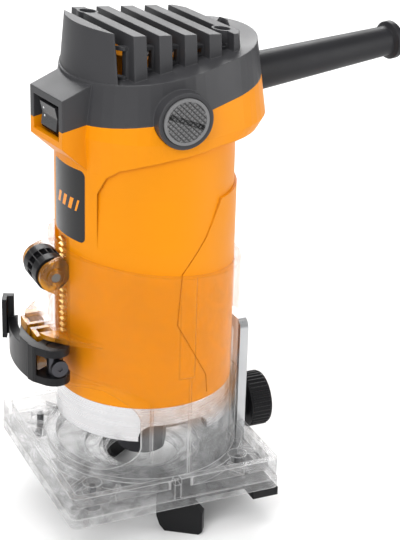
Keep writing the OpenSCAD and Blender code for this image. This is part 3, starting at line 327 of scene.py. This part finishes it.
# The last colour is the painted orange of the motor seen through the collar.
clear = clear_material("clear_moulding", (0.42, 0.425, 0.43), 0.14, 0.72, (0.74, 0.27, 0.0))
clear_sheet = clear_material("clear_sheet", (0.4, 0.405, 0.41), 0.2, 0.7)

# ------------------------------------------------------------------ metals

alloy = Mat("turned_alloy", (0.6, 0.6, 0.61), 0.3, 1.0, Anisotropic=0.5)
alloy.tint(45, 0.07)
alloy.rough(0.2, 0.36, scale=500, stretch=(0.02, 0.02, 1))
alloy.edges(0.0003)
alloy.bump(alloy.noise(1800, 2.0, 0.6, (0.01, 0.01, 1)), 0.000006, 0.6)

bracket = brushed("bracket_steel", (0.5, 0.51, 0.52), (0.26, 0.4), (1, 1, 0.04))
steel = brushed("bright_steel", (0.62, 0.62, 0.63), (0.16, 0.28), (1, 1, 0.05))
zinc = brushed("zinc_steel", (0.66, 0.67, 0.69), (0.22, 0.4), (1, 1, 1), 400, 0.00002,
               tint=(220, 0.16))
pin_steel = brushed("pin_steel", (0.17, 0.16, 0.15), (0.3, 0.45), (1, 1, 1), 400, 0.00002)
black_steel = brushed("black_oxide", (0.07, 0.07, 0.078), (0.3, 0.46), (1, 1, 1), 500, 0.00002)
core = brushed("laminated_core", (0.2, 0.2, 0.21), (0.42, 0.6), (0.02, 0.02, 1), 1600, 0.00006)
copper = brushed("enamelled_copper", (0.72, 0.26, 0.09), (0.25, 0.4), (1, 1, 0.02), 1400, 0.00008)
brass = brushed("turned_brass", (0.78, 0.53, 0.2), (0.22, 0.34), (1, 0.05, 1), 900, 0.00001)

# ------------------------------------------------------------------ label and brush caps


def label_material():
    """Black film with a plain mark: slanted orange bars in a low rectangle, in head coordinates."""
    film, ink = (0.006, 0.006, 0.007), (0.85, 0.27, 0.0)
    slant, bar, half_length, half_height = 0.35, 0.0011, 0.0076, 0.0024
    m = Mat("label_film", film, 0.2, 0.0, Coat_Weight=0.12, Coat_Roughness=0.12)
    m.p.inputs["Specular IOR Level"].default_value = 0.25
    m.rough(0.16, 0.28, scale=70)
    _, y, z = m.xyz(rot=(0, 0, -HEAD_TURN))
    v = m.math("SUBTRACT", z, LABEL_Z)
    u = m.math("ADD", y, m.math("MULTIPLY", v, slant))
    bars = m.math("LESS_THAN", m.math("PINGPONG", m.math("ADD", u, 0.1), 2 * bar), bar)
    inside = m.math("MULTIPLY", m.math("LESS_THAN", m.math("ABSOLUTE", u), half_length),
                    m.math("LESS_THAN", m.math("ABSOLUTE", v), half_height))
    m.link(m.mix(m.math("MULTIPLY", bars, inside), film, ink), m.p.inputs["Base Color"])
    m.bump(m.noise(300, 2.0), 0.00001, 0.5)
    return m


def waffle_material():
    """Brush cap: a grey moulding with a diamond pattern inside a rim; painted shade darkens the
    pattern's grooves and the rim is painted paler as a highlight.
    """
    groove_pitch, rim_r = 0.0021, 0.0079
    m = Mat("waffle_cap", (0.16, 0.16, 0.165), 0.42)
    x, _, z = m.xyz()
    z = m.math("SUBTRACT", z, BRUSH_Z)
    k = math.pi / groove_pitch
    a = m.math("ABSOLUTE", m.math("SINE", m.math("MULTIPLY", m.math("ADD", x, z), k)))
    b = m.math("ABSOLUTE", m.math("SINE", m.math("MULTIPLY", m.math("SUBTRACT", x, z), k)))
    r = m.math("SQRT", m.math("ADD", m.math("POWER", x, 2), m.math("POWER", z, 2)))
    inner = m.math("LESS_THAN", r, rim_r)
    field = m.math("MULTIPLY", m.math("MINIMUM", a, b), inner)
    # Painted shade: the diamond pattern's grooves are painted darker than its ridges.
    painted_shade_tone = m.mix(m.remap(field, 0.12, 0.6, 0, 1), (0.012, 0.012, 0.013), (0.1, 0.1, 0.102))
    # Painted highlight: the rim is painted paler than the pattern.
    m.link(m.mix(inner, (0.15, 0.15, 0.153), painted_shade_tone), m.p.inputs["Base Color"])
    m.rough(0.32, 0.5, scale=80)
    m.edges(0.0003)
    m.bump(field, 0.0005, 1.0)
    return m


label = label_material()
waffle = waffle_material()

# ------------------------------------------------------------------ a material for each node

looks = {
    "base_housing": clear, "sub_base_plate": clear_sheet, "motor_housing": orange,
    "top_cap": grey, "brush_caps": waffle, "clamp_lever": black, "guide_knob": black,
    "guide_fence": black, "fan_baffle": black, "cooling_fan": black, "cord_clamp": black,
    "switch_body": black, "switch_rocker": rocker_mat, "depth_roller": black,
    "cord_guard": rubber, "label_plate": label, "spindle_housing": alloy,
    "guide_bracket": bracket, "armature_shaft": steel, "collet_cone": steel,
    "lower_bearing_outer": steel, "lower_bearing_balls": steel, "lower_bearing_inner": steel,
    "upper_bearing_outer": steel, "upper_bearing_balls": steel, "upper_bearing_inner": steel,
    "lever_pivot_pin": black_steel, "clamp_bolt": black_steel, "clamp_nut": zinc,
    "roller_pin": pin_steel, "knob_stud": zinc, "knob_washer": zinc, "cap_screws": zinc,
    "spindle_housing_screws": zinc, "cord_clamp_screws": zinc, "brush_springs": zinc,
    "sub_base_screws": black_steel, "fence_screws": black_steel, "collet_nut": black_steel,
    "stator_core": core, "armature_core": core, "stator_coils": copper,
    "armature_coils": copper, "commutator": copper, "guide_insert": brass,
    "depth_rack": brass, "brush_holders": brass, "carbon_brushes": carbon,
}
for name, look in looks.items():
    mesh = nodes[name].data
    mesh.materials.clear()
    mesh.materials.append(look.m)

# ------------------------------------------------------------------ the rocker's two dots


def head(x, y, z):
    """A point in head coordinates, in mm, as a point of the frame, in metres."""
    c, s = math.cos(HEAD_TURN), math.sin(HEAD_TURN)
    return Vector((x * c - y * s, x * s + y * c, z)) * MM


def dome(name, at, normal, radius, rise, mat, body, rings=5, seg=28):
    """A shallow crowned dot with a flat underside."""
    bm = bmesh.new()
    loops = []
    for i in range(rings):
        t = i / rings * math.pi / 2
        r, h = radius * math.cos(t), rise * math.sin(t)
        around = [2 * math.pi * k / seg for k in range(seg)]
        loops.append([bm.verts.new((r * math.cos(a), r * math.sin(a), h)) for a in around])
    crown = bm.verts.new((0, 0, rise))
    for below, above in zip(loops, loops[1:]):
        for k in range(seg):
            n = (k + 1) % seg
            bm.faces.new((below[k], below[n], above[n], above[k]))
    for k in range(seg):
        bm.faces.new((loops[-1][k], loops[-1][(k + 1) % seg], crown))
    bm.faces.new(list(reversed(loops[0])))
    me = bpy.data.meshes.new(name)
    bm.to_mesh(me)
    bm.free()
    for f in me.polygons:
        f.use_smooth = len(f.vertices) < 6
    me.materials.append(mat.m)
    ob = bpy.data.objects.new(name, me)
    scene.collection.objects.link(ob)
    turn = Vector(normal).to_track_quat("Z", "Y").to_matrix().to_4x4()
    ob.matrix_world = Matrix.Translation(at) @ turn
    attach(ob, body)


for n, at in enumerate(ROCKER_DOTS):
    dome("rocker_dot_%d" % (n + 1), head(*at), head(-1, 0, 0).normalized(), 0.0005, 0.00012,
         white_ink, "rocker")

# ------------------------------------------------------------------ floor

FLOOR_HALF = 6.0
low = cad_box[0][2]
me = bpy.data.meshes.new("floor")
corners = ((-1, -1), (1, -1), (1, 1), (-1, 1))
me.from_pydata([(x * FLOOR_HALF, y * FLOOR_HALF, low) for x, y in corners], [], [(0, 1, 2, 3)])
floor_mat = Mat("pale_floor", (0.86, 0.86, 0.86), 0.6)
floor_mat.tint(3, 0.01)
me.materials.append(floor_mat.m)
floor = bpy.data.objects.new("floor", me)
scene.collection.objects.link(floor)
